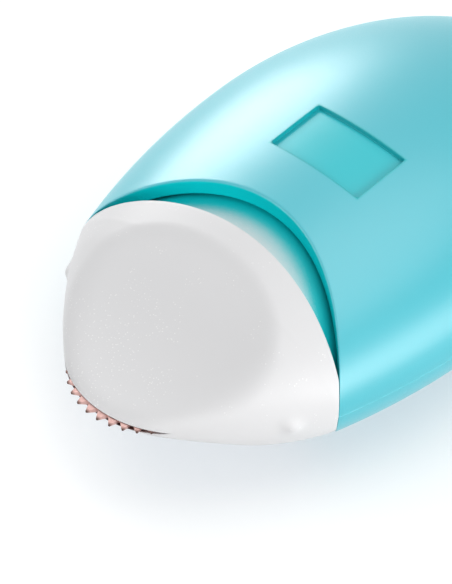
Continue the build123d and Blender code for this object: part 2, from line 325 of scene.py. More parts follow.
@dataclass(frozen=True)
class DustedFinish(Finish):
    """White finish with specks of chalk dust, painted shadow on the slot faces, and painted shade with teal
    bounce light from the shell on the tank.
    """

    speck_size: float = 0.36
    speck_share: float = 0.16
    speck_colour: Colour = (0.95, 0.95, 0.95)
    speck_edge: Pair = (0.24, 0.12)
    cloud_size: float = 2.2
    cloud_edge: float = 0.08
    cloud_levels: Pair = (0.5, 0.72)
    dusty_at: tuple[float, float, float] = (-3.5, -31.0, 14.5)
    dusty_reach: Pair = (3.0, 9.0)
    # painted shadow: dark colour of the slot faces beside the wheel
    painted_slot_shadow_colour: Colour = (0.16, 0.07, 0.065)
    # painted shade and teal bounce light that the shell throws on the tank, its strength from ambient
    # occlusion
    painted_teal_shade: Colour = (0.0, 0.58, 0.62)
    painted_shade_reach: float = 5.6
    painted_shade_span: Pair = (0.02, 0.28)
    painted_shade_samples: int = 12

    def dress(self, wires: Wiring, place: Socket, colour: Socket) -> Socket:
        """Lays specks of dust over the tint, then the painted shadow of the slot and the painted shade and
        teal bounce of the shell.

        Args:
            wires: node tree of the material.
            place: object coordinates.
            colour: tint.

        Returns:
            The dusted colour with painted shadow and painted shade.
        """
        cells = wires.add("ShaderNodeTexVoronoi", {"Scale": 1 / (self.speck_size * MM), "Vector": place})
        dot = wires.spread(cells.outputs["Distance"], self.speck_edge)
        middle = tuple(c * MM for c in self.dusty_at)
        away = wires.add("ShaderNodeVectorMath", {0: place, 1: middle}, operation="DISTANCE").outputs["Value"]
        reach = tuple(r * MM for r in self.dusty_reach)
        least = wires.spread(away, reach, tuple(level - self.speck_share for level in self.cloud_levels))
        over = wires.math("SUBTRACT", wires.noise(place, self.cloud_size, 3.0), least)
        specks = wires.math("MULTIPLY", dot, wires.spread(over, (0.0, self.cloud_edge)))
        dusted = wires.mix(specks, colour, (*self.speck_colour, 1))
        # painted shadow on the slot faces
        painted_slot_shadow = wires.mix(wires.mark("painted_slot_shadow"), dusted, (*self.painted_slot_shadow_colour, 1))
        # painted shade and teal bounce light of the shell on the tank
        return wires.mix(self.cover(wires), painted_slot_shadow, (*self.painted_teal_shade, 1))

    def cover(self, wires: Wiring) -> Socket:
        """Tells how strongly to paint the shell's shade and teal bounce light on the tank, from how closely
        the shell hangs over it.

        Args:
            wires: node tree of the material.

        Returns:
            Share of painted shade, from 0 in the open to 1 close under the shell, and 0 off the tank.
        """
        reach = {"Distance": self.painted_shade_reach * MM}
        alone, among_all = (
            wires.add("ShaderNodeAmbientOcclusion", reach, only_local=local, samples=self.painted_shade_samples)
            for local in (True, False)
        )
        lost = wires.math("SUBTRACT", alone.outputs["AO"], among_all.outputs["AO"])
        strong = wires.spread(lost, self.painted_shade_span, interpolation_type="SMOOTHSTEP")
        return wires.math("MULTIPLY", strong, wires.mark("hood"))


@dataclass(frozen=True)
class ShellFinish(Finish):
    """Finish with painted shade: a deeper, duller shaded copy of the turquoise where the mesh is marked as
    lying under the outer skin, and darker creases.
    """

    # painted shade: deeper, glossless copy of the turquoise on the rim face, inner walls and recess floor
    painted_deep_shade: Colour = (0.003, 0.65, 0.69)
    # painted shade along the foot of the recess's walls
    painted_crease_shade: Colour = (0.003, 0.38, 0.42)
    deep_specular: float = 0.04

    def material(self) -> bpy.types.Material:
        """Builds the node tree and takes the gloss off the places marked for painted shade.

        Returns:
            The material, ready to assign.
        """
        made = super().material()
        wires = Wiring(made.node_tree)
        levels = {"Specular IOR Level": (self.specular, self.deep_specular), "Coat Weight": (self.coat, 0.0)}
        gloss = {name: wires.spread(wires.mark("painted_deep_shade"), (0.0, 1.0), ends) for name, ends in levels.items()}
        wires.feed(made.node_tree.nodes["Principled BSDF"], gloss)
        return made

    def dress(self, wires: Wiring, place: Socket, colour: Socket) -> Socket:
        """Lays the painted shade over the tint: the deeper shaded tint and the darker creases.

        Args:
            wires: node tree of the material.
            place: object coordinates, not used.
            colour: tint.

        Returns:
            The colour with painted shade.
        """
        for name, tone in (("painted_deep_shade", self.painted_deep_shade), ("painted_crease_shade", self.painted_crease_shade)):
            colour = wires.mix(wires.mark(name), colour, (*tone, 1))
        return colour


@dataclass(frozen=True)
class ToothFinish(Finish):
    """Metal that darkens towards the tips of the wheel's teeth."""

    centre: Pair = (0.0, 0.0)
    dark_span: Pair = (8.0, 8.5)
    dark: Colour = (0.1, 0.05, 0.04)

    def dress(self, wires: Wiring, place: Socket, colour: Socket) -> Socket:
        """Darkens the metal with its distance from the axle.

        Args:
            wires: node tree of the material.
            place: object coordinates.
            colour: tint.

        Returns:
            The darkened colour.
        """
        flat = wires.add("ShaderNodeVectorMath", {0: place, 1: (1, 1, 0)}, operation="MULTIPLY")
        line = {0: flat.outputs["Vector"], 1: (self.centre[0] * MM, self.centre[1] * MM, 0)}
        far = wires.add("ShaderNodeVectorMath", line, operation="DISTANCE").outputs["Value"]
        edge = wires.spread(far, tuple(r * MM for r in self.dark_span))
        return wires.mix(edge, colour, (*self.dark, 1))


TURQUOISE = ShellFinish(
    "turquoise_satin",
    (0.013, 0.465, 0.56),
    (0.018, 0.485, 0.58),
    roughness=0.35,
    grain_depth=0.012,
    specular=1.0,
    coat=0.8,
)
WHITE = DustedFinish(
    "white_satin", (0.785, 0.785, 0.795), (0.81, 0.81, 0.82), roughness=0.45, grain_depth=0.008
)
POWDER = Finish(
    "chalk_powder", (0.86, 0.86, 0.84), (0.8, 0.8, 0.78),
    patch_size=2.0, roughness=0.95, roughness_spread=0.04, grain_size=0.25, grain_depth=0.05, specular=0.1,
)
HUB_WHITE = Finish(
    "hub_acetal", (0.8, 0.8, 0.77), (0.76, 0.76, 0.73), patch_size=3.0, roughness=0.35, roughness_spread=0.05
)
STEEL = Finish(
    "axle_steel", (0.55, 0.55, 0.57), (0.5, 0.5, 0.52),
    patch_size=1.0, roughness=0.3, roughness_spread=0.08, grain_size=0.05, grain_depth=0.002, metallic=1.0,
)
PLUG_RUBBER = Finish(
    "plug_rubber", (0.62, 0.63, 0.63), (0.56, 0.57, 0.57),
    patch_size=4.0, roughness=0.7, roughness_spread=0.08, grain_size=0.1, grain_depth=0.01,
)


# ---- handle ----


@dataclass
class Handle:
    """Handle of two shells. All sizes are in millimetres, and back is measured behind the mouth's corners."""

    mouth_y: float
    mid_z: float
    length: float = 56.5
    widest: float = 22.0
    swell: float = 3.7
    widest_back: float = 24.5
    flatness: float = 0.545
    wall: float = 2.0
    mouth_rise: float = 9.75
    corner_back: float = 0.15
    corner_span: Pair = (-2.0, 1.0)
    front_end: float = 13.0
    follow_end: Pair = (27.0, 44.0)
    rim_span: Pair = (0.5, 5.0)
    rim_outer: float = 0.35
    rim_inner: float = 0.3
    seam: float = 0.05
    recess_half_width: float = 6.0
    recess_half_length: float = 3.75
    recess_back: float = 20.0
    recess_depth: float = 0.5
    recess_corner: float = 0.35
    recess_draft: float = 0.09
    # spans and shares of the painted shade on the rim face, inner walls, recess floor and creases
    deep_span: Pair = (0.03, 0.42)
    deep_in_recess: float = 0.45
    deep_in_crease: float = 0.8
    crease_reach: float = 0.17
    post_radius: float = 2.4
    post_foot: float = 0.94
    post_ease: float = 0.15
    post_sink: float = 0.6
    post_places: tuple[tuple[float, float], ...] = ((13.0, 31.0), (9.5, 44.5))
    hoop_places: tuple[float, ...] = (26.5, 37.5)
    hoop_width: float = 1.2
    hoop_height: float = 1.8
    guide_x: float = 6.0
    guide_width: float = 1.2
    guide_span: Pair = (11.5, 20.5)
    tank_room: Pair = (16.64, 9.09)
    root_inset: float = 1.0
    offsets: Array = field(
        default_factory=lambda: np.array(
            [-0.8, -0.55, -0.4, -0.3, -0.22, -0.15, -0.1, -0.06, -0.03, 0, 0.03, 0.07, 0.14, 0.3, 0.6]
        )
    )

    @property
    def mouth_half(self) -> float:
        """Half width at the mouth's corners."""
        return self.widest - self.swell

    def half_width(self, back: Array, inset: float = 0.0) -> Array:
        """Half width of the form, drawn in by inset.

        Args:
            back: distances behind the mouth's corners.
            inset: how far the form is drawn in.

        Returns:
            Half widths.
        """
        back = np.asarray(back, float)
        side = (self.widest_back**2 + self.swell**2) / (2 * self.swell)
        arc = np.clip((side - inset) ** 2 - (self.widest_back - back) ** 2, 0, None)
        front = self.widest - side + np.sqrt(arc)
        reach = (back - self.widest_back) / (self.length - self.widest_back - inset)
        rear = (self.widest - inset) * np.sqrt(np.clip(1 - np.clip(reach, 0, None) ** 2, 0, None))
        return np.where(back < self.widest_back, front, rear)

    def share(self, inset: float = 0.0) -> float:
        """Half height over half width of the form drawn in by inset."""
        return (self.flatness * self.widest - inset) / (self.widest - inset)

    def mouth_back(self, x: Array, high: Array) -> Array:
        """Back of the mouth's arch at x, with its corners further back high over the parting plane."""
        aside = (x / self.mouth_half) ** 2
        return self.mouth_rise * (1 - aside) + self.corner_back * aside * soft_step(high, *self.corner_span)

    def mouth_line(self, angle: Array, side: Side, inset: float = 0.0) -> Array:
        """Distances back at which the skin drawn in by inset meets the mouth.

        Args:
            angle: angles round the long axis.
            side: which half.
            inset: how far the skin is drawn in.

        Returns:
            Distances behind the mouth's corners.
        """
        back = np.full_like(angle, 4.0)
        for _ in range(SETTLE_ROUNDS):
            at = self.skin(angle, back, inset)
            back = 0.5 * back + 0.5 * self.mouth_back(at[..., 0], side.value * at[..., 2])
        return back

    def skin(self, angle: Array, back: Array, inset: float = 0.0) -> Array:
        """Points on the form drawn in by inset, with angle 0 at +X and z above the parting plane."""
        wide = self.half_width(back, inset)
        return points_at(wide * np.cos(angle), self.mouth_y + back, self.share(inset) * wide * np.sin(angle))

    def lines_across(self) -> tuple[Array, Array]:
        """Rows of the outer skin: even steps of angle, and lines of x that follow the recess.

        Returns:
            Rows as shares of the half turn, and the x of each row where it follows the recess, nan elsewhere.
        """
        edge = self.recess_half_width + self.offsets
        middle = np.linspace(edge[0], -edge[0], 22)[1:-1]
        aligned = np.concatenate([edge[::-1], middle, -edge])
        sides = 44
        rows = sides * 2 + len(aligned)
        x = np.full(rows, np.nan)
        x[sides : sides + len(aligned)] = aligned
        return np.linspace(0, 1, rows), x

    def angles(self, back: Array) -> Array:
        """Angle of every row at the distances back, one column for each.

        Args:
            back: rows by columns of distances.

        Returns:
            Angles of the same shape.
        """
        share, x = self.lines_across()
        wide = self.half_width(back)
        lift = np.minimum(self.seam, 0.2 * self.flatness * wide)
        low = np.arcsin(np.clip(lift / np.maximum(self.flatness * wide, 1e-6), 0, 1))
        plain = low + share[:, None] * (math.pi - 2 * low)
        follow = ~np.isnan(x)
        first, last = np.flatnonzero(follow)[[0, -1]]
        at = np.arccos(np.clip(np.where(follow, x, 0)[:, None] / np.maximum(wide, 1e-6), -1, 1))
        start, end = at[first], at[last]
        up = low[:first] + (start - low[:first]) * (np.arange(first) / first)[:, None]
        after = len(x) - 1 - last
        top = math.pi - low[last + 1 :]
        down = end + (top - end) * (np.arange(1, after + 1) / after)[:, None]
        aligned = at.copy()
        aligned[:first] = up
        aligned[last + 1 :] = down
        weight = 1 - soft_step(back, *self.follow_end)
        return plain * (1 - weight) + aligned * weight

    def sink(self, points: Array) -> Array:
        """Depth of the recess under points of the outer skin.

        Args:
            points: points on the upper skin.

        Returns:
            Depths in millimetres.
        """
        wide, long = self.recess_half_width - self.recess_corner, self.recess_half_length - self.recess_corner
        dx = np.abs(points[..., 0]) - wide
        dy = np.abs(points[..., 1] - self.mouth_y - self.recess_back) - long
        outside = np.hypot(np.clip(dx, 0, None), np.clip(dy, 0, None))
        away = outside + np.minimum(np.maximum(dx, dy), 0) - self.recess_corner
        return self.recess_depth * soft_step(-away, -self.recess_draft / 2, self.recess_draft / 2)

    def shell(self, side: Side) -> Piece:
        """Builds one shell with its rim, inner wall, posts, hoops and guides.

        Args:
            side: which half.

        Returns:
            The shell's object.
        """
        draft = Draft()
        rows = len(self.lines_across()[0])
        near, rear = self.front_end, self.length - self.widest_back
        lines = np.concatenate(
            [
                np.linspace(near, self.recess_back - self.recess_half_length - 0.7, 6),
                self.recess_back - self.recess_half_length - self.offsets[::-1],
                np.linspace(-1, 1, 12)[1:-1] * (self.recess_half_length - 0.9) + self.recess_back,
                self.recess_back + self.recess_half_length + self.offsets,
                self.widest_back + rear * np.sin(np.linspace(0.02, math.pi / 2, 56)),
            ]
        )
        lines = np.unique(np.round(lines, 5))
        start = np.full(rows, 4.0)
        for _ in range(ROW_ROUNDS):
            angle = self.angles(start[:, None])[:, 0]
            start = self.mouth_line(angle, side)
        angle = self.angles(start[:, None])[:, 0]
        ease = self.rim_outer * (0.3 + 0.7 * soft_step(start, *self.rim_span))[:, None]
        front = start[:, None] + ease + (near - start[:, None] - ease) * np.linspace(0, 1, 26)
        back = np.concatenate([front[:, :-1], np.tile(lines, (rows, 1))], 1)
        outer = self.skin(self.angles(back), back)
        if side is Side.UPPER:
            outer[..., 2] -= self.sink(outer)
        edge = self.skin(angle, start)
        inner_start = self.mouth_line(angle, side, self.wall)
        inner_edge = self.skin(angle, inner_start, self.wall)
        across = inner_edge - edge
        wide = np.linalg.norm(across, axis=-1)[:, None]

        def on_rim(share: Array) -> Array:
            """Points on the rim's face, a share of the way from the outer to the inner edge."""
            at = edge + across * share
            at[:, 1] = self.mouth_y + self.mouth_back(at[:, 0], side.value * at[:, 2])
            return at

        outer_end, inner_end = on_rim(ease / wide), on_rim(1 - self.rim_inner / wide)
        face = np.stack([on_rim(s + 0 * wide) for s in (0.3, 0.5, 0.7)], 1)
        inner_back = inner_start[:, None] + self.rim_inner + (
            self.length - self.wall - inner_start[:, None] - self.rim_inner
        ) * np.sin(np.linspace(0, math.pi / 2, 48))
        inner = self.skin(angle[:, None], inner_back, self.wall)
        table = np.concatenate(
            [
                outer[:, ::-1],
                bend(outer[:, 0], edge, outer_end),
                outer_end[:, None],
                face,
                inner_end[:, None],
                bend(inner_end, inner_edge, inner[:, 0]),
                inner,
            ],
            1,
        )
        first, last = table[:1].copy(), table[-1:].copy()
        for row, way in ((first, -1), (last, 1)):
            narrow = np.minimum(self.seam, np.abs(row[..., 0]) * 0.2)
            row[..., 0] += way * narrow
            row[..., 2] = 0
        table = np.concatenate([first, table, last])
        n = draft.sheet(self.stand(table, side))
        split = outer.shape[1] + 5
        for row in (n[0], n[-1]):
            draft.join(row[:split], row[split - 1 :][::-1])
        self.posts(draft, side)
        self.hoops(draft, side)
        self.guides(draft, side)
        # marks of painted shade for the shell's finish
        marks = {"painted_deep_shade": self.painted_deep_shade, "painted_crease_shade": self.painted_crease_shade}
        return draft.make(f"{side.name.lower()}_shell_skin", 40.0, marks)

    def painted_deep_shade(self, points: Array) -> Array:
        """Mark of painted shade that grows from 0 on the outer skin to 1 a little under it, and less in the
        recess.

        Args:
            points: points of the shell in the frame.

        Returns:
            Marks from 0 to 1.
        """
        back = points[:, 1] - self.mouth_y
        away = np.hypot(points[:, 0], (points[:, 2] - self.mid_z) / self.share())
        in_recess = (points[:, 2] > self.mid_z + 2 * self.wall) & (self.sink(points) > 0)
        under = soft_step(self.half_width(back) - away, *self.deep_span)
        share = np.where(in_recess, self.deep_in_recess, 1.0)
        return np.maximum(under * share, self.deep_in_crease * self.painted_crease_shade(points))

    def painted_crease_shade(self, points: Array) -> Array:
        """Mark of painted shade along the foot of the recess's walls.

        Args:
            points: points of the shell in the frame.

        Returns:
            Marks from 0 to 1.
        """
        dx = np.abs(points[:, 0]) - self.recess_half_width
        dy = np.abs(points[:, 1] - self.mouth_y - self.recess_back) - self.recess_half_length
        away = np.maximum(dx, dy) + 0.02
        upper = points[:, 2] > self.mid_z + 2 * self.wall
        return np.where(upper, np.exp(-((away / self.crease_reach) ** 2)), 0.0)

    def stand(self, points: Array, side: Side) -> Array:
        """Moves points from above the parting plane to their place in the frame.

        Args:
            points: points with z above the parting plane.
            side: which half they belong to.

        Returns:
            Points in the frame, with the lower half resting flat on the floor.
        """
        placed = points.copy()
        placed[..., 2] = np.maximum(self.mid_z + side.value * points[..., 2], 0)
        return placed

    def posts(self, draft: Draft, side: Side) -> None:
        """Adds the screwless posts that the halves meet on.

        Args:
            draft: draft of the shell.
            side: which half.
        """
        turn = np.linspace(0, 2 * math.pi, 33)[:-1]
        for x, back in self.post_places:
            for way in (-1, 1):
                wide = float(self.half_width(back, self.root_inset))
                top = self.share(self.root_inset) * math.sqrt(wide**2 - x * x)
                end = top - self.post_sink
                rows = [
                    points_at(way * x + r * np.cos(turn), self.mouth_y + back + r * np.sin(turn), z)
                    for z, r in (
                        (0.0, 0.0),
                        (0.0, self.post_radius * self.post_foot),
                        (self.post_ease, self.post_radius),
                        (end, self.post_radius),
                        (end, 0.0),
                    )
                ]
                draft.sheet(self.stand(np.stack(rows, 1), side), wrap=True)

    def hoops(self, draft: Draft, side: Side) -> None:
        """Adds the stiffening hoops inside the shell.

        Args:
            draft: draft of the shell.
            side: which half.
        """
        angle = np.linspace(0, math.pi, 65)
        for back in self.hoop_places:
            root, foot = self.root_inset, self.wall + self.hoop_height
            corners = [
                self.skin(angle, np.full_like(angle, back + shift * self.hoop_width), inset)
                for inset, shift in ((root, -0.5), (foot, -0.5), (foot, 0.5), (root, 0.5))
            ]
            self.bar(draft, corners, side)

    def guides(self, draft: Draft, side: Side) -> None:
        """Adds the two ribs that guide the tank.

        Args:
            draft: draft of the shell.
            side: which half.
        """
        back = np.linspace(*self.guide_span, 12)
        for way in (-1, 1):
            corners = []
            for dx, top in ((-0.5, 0), (0.5, 0), (0.5, 1), (-0.5, 1)):
                x = way * self.guide_x + dx * self.guide_width
                wide = self.half_width(back, self.root_inset)
                tall = self.share(self.root_inset) * np.sqrt(wide**2 - x * x)
                low = self.tank_room[1] * math.sqrt(1 - (x / self.tank_room[0]) ** 2)
                corners.append(points_at(x, self.mouth_y + back, tall if top else low))
            self.bar(draft, corners, side)

    def bar(self, draft: Draft, corners: list[Array], side: Side) -> None:
        """Adds a bar with four edges, closed at both ends.

        Args:
            draft: draft of the shell.
            corners: points along each of the four edges.
            side: which half.
        """
        n = draft.sheet(self.stand(np.stack([*corners, corners[0]], 1), side))
        draft.cap(n[0][:4])
        draft.cap(n[-1][:4])

    def build(self) -> list[Piece]:
        """Builds both shells and dresses them.

        Returns:
            The two objects.
        """
        finish = TURQUOISE.material()
        made = []
        for side in Side:
            piece = self.shell(side)
            piece.data.materials.append(finish)
            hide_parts(f"{side.name.lower()}_shell")
            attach(piece, "handle")
            made.append(piece)
        return made


# ---- cartridge ----


@dataclass
class Cartridge:
    """Scooped nose and powder tank, in two cheeks. Sizes are in millimetres."""

    handle: Handle
    reach: float = 16.15
    tip_radius: float = 11.2
    tip_angle: float = 40.0
    corner_gap: float = 0.04
    crest_back: float = 5.35
    crest_end: float = 0.7
    crest_round: float = 0.25
    crest_span: Pair = (0.5, 3.0)
    scoop_radius: float = 30.0
    scoop_cross: float = 90.0
    scoop_top: float = 2.3
    lip: float = 0.95
    scoop_blend: Pair = (2.2, 0.9)
    blend_span: Pair = (-10.0, -2.0)
    shoulder_drop: float = 0.28
    shoulder_high: Pair = (1.5, 5.0)
    shoulder_back: Pair = (-3.0, 0.5)
    bump_height: float = 0.5
    bump_size: float = 0.95
    bump_at: Pair = (15.75, -4.05)
    bump_way: Pair = (0.83, -0.56)
    axle_setback: float = 7.7
    slot_half: tuple[tuple[float, float], ...] = ((7.6, 0.42), (8.6, 0.16), (8.78, 0.07), (8.95, 0.0))
    # span over which the painted shadow of the slot faces fades in
    painted_slot_shadow_span: Pair = (0.18, 0.38)
    # tank region that takes the painted shade of the shell
    hood_share: float = 1.01
    hood_from: float = 0.5
    tank_half_width: float = 16.54
    tank_half_height: float = 8.99
    nose_rows: int = 181
    tank_rows: int = 97
    tank_length: float = 21.0
    tank_round: float = 1.6
    front_span: Pair = (0.6, 3.2)
    front_cover: float = 0.05
    filler_profile: tuple[tuple[float, float], ...] = ((4.75, 0.0), (4.35, 0.15), (4.35, 4.0), (0.0, 4.0))

    def outline(self) -> tuple[Array, Array]:
        """Plan of the nose as a table from the tip, at even steps along the outline.

        Returns:
            Distances behind the mouth's corners, and half widths.
        """
        turn = np.radians(np.linspace(0, self.tip_angle, 200))
        round_off = self.tip_radius * (1 - np.cos(turn))
        tip = np.stack([self.tip_radius * np.sin(turn), -self.reach + round_off], -1)
        start, end = tip[-1], np.array([self.handle.mouth_half, 0.0])
        chord = end - start
        long = np.hypot(*chord)
        lean = math.atan2(chord[1], chord[0]) - math.radians(self.tip_angle)
        radius = long / (2 * math.sin(lean))
        aim = math.radians(self.tip_angle) - math.pi / 2
        centre = start - radius * np.array([math.cos(aim), math.sin(aim)])
        sweep = aim + np.linspace(0, 2 * lean, 300)[1:]
        flank = centre + radius * np.stack([np.cos(sweep), np.sin(sweep)], -1)
        back = np.linspace(0, self.handle.mouth_rise, 120)[1:]
        run = np.stack([self.handle.half_width(back), back], -1)
        line = np.concatenate([tip, flank, run])
        return line[:, 1], line[:, 0]

    def scoop(self, x: Array, back: Array) -> Array:
        """Height of the scoop over the parting plane.

        Args:
            x: places across.
            back: distances behind the mouth's corners.

        Returns:
            Heights.
        """
        top = self.handle.flatness * float(self.handle.half_width(self.scoop_top))
        run, rise = self.scoop_top + self.reach, top - self.lip
        chord = math.hypot(run, rise)
        bow = math.sqrt(self.scoop_radius**2 - chord**2 / 4)
        centre = -self.reach + run / 2 - bow * rise / chord
        height = self.lip + rise / 2 + bow * run / chord
        ring = self.scoop_cross - self.scoop_radius
        drop = ring + np.sqrt(np.clip(self.scoop_radius**2 - (back - centre) ** 2, 0, None))
        return height + ring - np.sqrt(drop**2 - x**2)

    def blend(self, back: Array) -> Array:
        """Rounding of the scoop's edge, wide towards the tip and narrower under the crest."""
        wide, narrow = self.scoop_blend
        return wide + (narrow - wide) * soft_step(back, *self.blend_span)

    def slot(self, x: Array, back: Array) -> Array:
        """Height of the cheek's underside over the parting plane, which the wheel's slot lifts."""
        away = np.hypot(x, back + self.reach - self.axle_setback)
        radii, halves = zip(*self.slot_half)
        return np.interp(away, radii, halves)

    def cheek(self, side: Side) -> Piece:
        """Builds one cheek: scooped nose with its crest, and half of the tank behind it.

        Args:
            side: which half.

        Returns:
            The cheek's object.
        """
        draft = Draft()
        table_back, table_half = self.outline()
        steps = np.hypot(np.diff(table_back), np.diff(table_half))
        along = np.concatenate([[0], np.cumsum(steps)])
        angle = np.linspace(0, math.pi, self.nose_rows)
        end = np.full_like(angle, 2.0)
        for _ in range(SETTLE_ROUNDS):
            half = np.interp(end, table_back, table_half)
            x, high = half * np.cos(angle), self.handle.flatness * half * np.sin(angle)
            q = 1 - (x / self.handle.mouth_half) ** 2
            crest = self.crest_end + (self.crest_back - self.crest_end) * q
            shoulder = self.handle.mouth_back(x, side.value * high) - self.corner_gap
            end = 0.5 * end + 0.5 * np.minimum(crest, shoulder)
        ease = self.crest_round * (0.4 + 0.6 * soft_step(end, *self.crest_span))
        share = np.concatenate([np.linspace(0, 1, 13)[:-1] ** 1.5 * 0.08, np.linspace(0.08, 1, 110)])
        reach = np.interp(end - ease * 0.8, table_back, along)[:, None] * share
        back = np.interp(reach, along, table_back)
        half = np.interp(reach, along, table_half)
        skin = self.nose_skin(angle[:, None], back, half)
        half_end = np.interp(end, table_back, table_half)
        edge = self.nose_skin(angle, end, half_end)
        low = self.slot(edge[:, 0], edge[:, 1])
        down = edge.copy()
        down[:, 2] = np.maximum(edge[:, 2] - ease, low)
        foot = edge.copy()
        foot[:, 2] = low
        wall = np.stack([down + (foot - down) * s for s in (0, 0.3, 0.65, 1)], 1)
        table = np.concatenate([skin, bend(skin[:, -1], edge, down, 4), wall], 1)
        first, last = table[:1].copy(), table[-1:].copy()
        for row in (first, last):
            row[..., 2] = self.slot(row[..., 0], row[..., 1])
        table = np.concatenate([first, table, last])
        under = table[:, : skin.shape[1] + 3].copy()
        under[..., 2] = self.slot(under[..., 0], under[..., 1])
        under[:, -1] = table[:, -1]
        for t in (table, under):
            t[..., 1] += self.handle.mouth_y
            draft.sheet(self.handle.stand(t, side))
        self.tank(draft, side)
        # marks of the tank for painted shade and of the slot faces for painted shadow
        return draft.make(f"{side.name.lower()}_cheek_skin", 40.0, {"hood": self.hood, "painted_slot_shadow": self.painted_slot_shadow})

    def painted_slot_shadow(self, points: Array) -> Array:
        """Mark of painted shadow on the slot's faces beside the wheel."""
        low = self.slot(points[:, 0], points[:, 1] - self.handle.mouth_y)
        inside = np.abs(points[:, 2] - self.handle.mid_z) < low + 0.01
        return np.where(inside, soft_step(low, *self.painted_slot_shadow_span), 0.0)

    def hood(self, points: Array) -> Array:
        """Mark of the tank, which the shell hangs over and which takes its painted shade."""
        high = points[:, 2] - self.handle.mid_z
        away = np.hypot(points[:, 0] / self.tank_half_width, high / self.tank_half_height)
        return (away < self.hood_share).astype(float) * (points[:, 1] > self.handle.mouth_y + self.hood_from)

    def nose_skin(self, angle: Array, back: Array, half: Array) -> Array:
        """Points on the nose: its skin, scooped out, with the two small bumps.

        Args:
            angle: angle round the long axis.
            back: distances behind the mouth's corners.
            half: half widths there.

        Returns:
            Points with y measured behind the mouth's corners, and z above the parting plane.
        """
        x = half * np.cos(angle)
        high = self.handle.flatness * half * np.sin(angle)
        drop = self.shoulder_drop * soft_step(high, *self.shoulder_high)
        high = high - drop * soft_step(back, *self.shoulder_back)
        height = soft_min(high, self.scoop(x, back), self.blend(back))
        height = np.maximum(height, self.slot(x, back) + 0.02)
        away = np.sqrt((np.abs(x) - self.bump_at[0]) ** 2 + (back - self.bump_at[1]) ** 2 + height**2)
        swell = self.bump_height * np.exp(-((away / self.bump_size) ** 2))
        return points_at(x + np.sign(x) * swell * self.bump_way[0], back + swell * self.bump_way[1], height)

    def tank(self, draft: Draft, side: Side) -> None:
        """Adds half of the tank, rounded at its back, with the filler's round mouth.

        Args:
            draft: draft of the cheek.
            side: which half.
        """
        angle = np.linspace(0, math.pi, self.tank_rows)
        turn = np.linspace(0, math.pi / 2, 9)
        length, inset = [0.0], [0.0]
        length += list(self.tank_length - self.tank_round * (1 - np.sin(turn)))
        inset += list(self.tank_round * (1 - np.cos(turn)))
        wide, high = self.tank_half_width, self.tank_half_height
        outer = [(wide - inward, high - inward, back) for back, inward in zip(length, inset)]
        mouth = [(radius, radius, self.tank_length - depth) for radius, depth in self.filler_profile]
        rows = [
            points_at(wide * np.cos(angle), self.handle.mouth_y + back, high * np.sin(angle))
            for wide, high, back in [*outer, *mouth]
        ]
        tries = np.linspace(*self.front_span, 40)[:, None]
        x, high = rows[0][:, 0], rows[0][:, 2]
        under = soft_min(
            self.handle.flatness * np.sqrt(np.clip(self.handle.half_width(tries) ** 2 - x**2, 0, None)),
            self.scoop(x, tries),
            self.blend(tries),
        )
        rows[0][:, 1] += tries[np.argmax(under > high + self.front_cover, axis=0), 0]
        front = rows[0] * (0, 1, 0)
        n = draft.sheet(self.handle.stand(np.stack([front, *rows], 1), side))
        draft.join(n[0], n[-1])

    def build(self) -> list[Piece]:
        """Builds both cheeks and dresses them.

        Returns:
            The two objects.
        """
        finish = WHITE.material()
        made = []
        for side in Side:
            piece = self.cheek(side)
            piece.data.materials.append(finish)
            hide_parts(f"{side.name.lower()}_cheek")
            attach(piece, "cartridge")
            made.append(piece)
        return made


# ---- wheel ----


